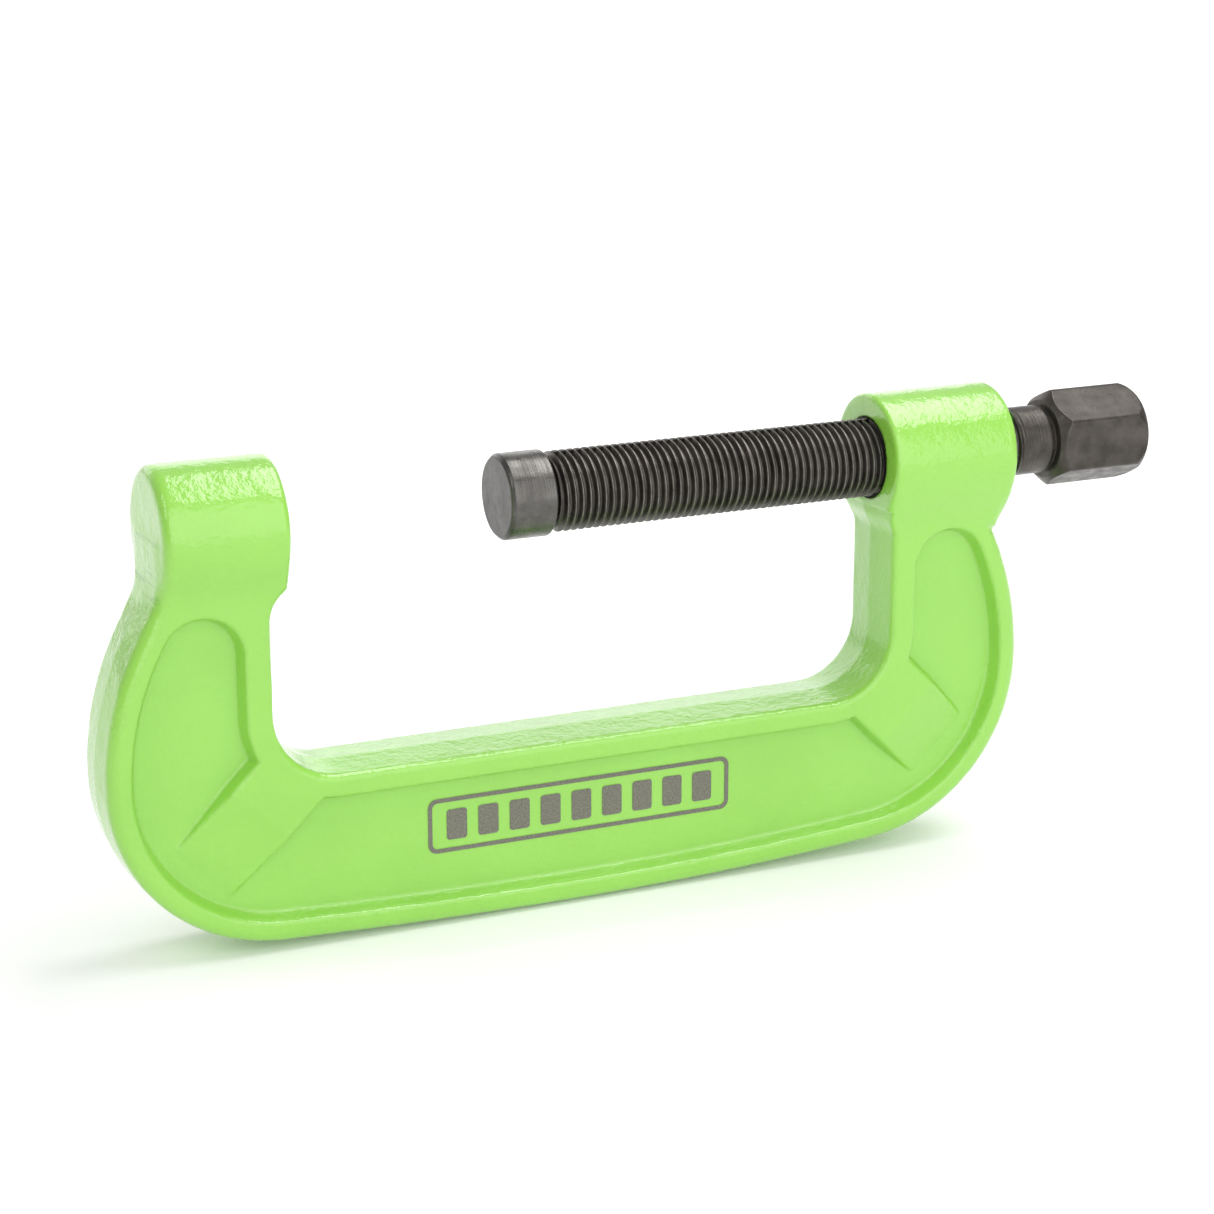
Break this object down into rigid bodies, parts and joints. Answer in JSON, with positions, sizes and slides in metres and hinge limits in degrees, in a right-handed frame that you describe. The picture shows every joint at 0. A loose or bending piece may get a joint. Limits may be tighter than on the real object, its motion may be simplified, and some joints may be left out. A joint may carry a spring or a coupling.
{
  "type": "c clamp",
  "caption": "Forged C-frame press clamp with a fixed anvil and a hexagon-headed forcing screw that ends in a swivelling thrust cap.",
  "frame": {"origin": "centre of the anvil's working face, on the screw axis", "axes": "+X along the screw from the anvil towards the hexagon, +Y across the frame's thickness, +Z from the spine up to the screw"},
  "size_m": [0.3598, 0.042, 0.1535],
  "materials": {
    "frame_enamel": "glossy lime-green enamel over a slightly uneven forged surface",
    "blackened_steel": "black oxide, dry, with brighter thread crests",
    "cap_steel": "black oxide with turned rings on the face",
    "spring_steel": "drawn spring wire, satin",
    "ball_steel": "ground and polished bearing ball"
  },
  "bodies": {
    "frame": {"c_frame": "frame_enamel"},
    "ball": {"thrust_ball": "ball_steel"},
    "screw": {"forcing_screw": "blackened_steel"},
    "cap": {"thrust_cap": "cap_steel", "retaining_ring": "spring_steel"}
  },
  "joints": [
    {"name": "screw_travel", "type": "slide", "parent": "frame", "child": "ball", "axis": [1, 0, 0], "range_m": [-0.0207, 0.1136]},
    {"name": "screw_turn", "type": "hinge", "parent": "ball", "child": "screw", "pos_m": [0, 0, 0], "axis": [1, 0, 0], "range_deg": [-2930, 16100]},
    {"name": "cap_swivel", "type": "hinge", "parent": "ball", "child": "cap", "pos_m": [0, 0, 0], "axis": [1, 0, 0], "continuous": true}
  ],
  "couplings": [
    {"joint": "screw_travel", "follows": "screw_turn", "m_per_rad": 0.00040425}
  ]
}
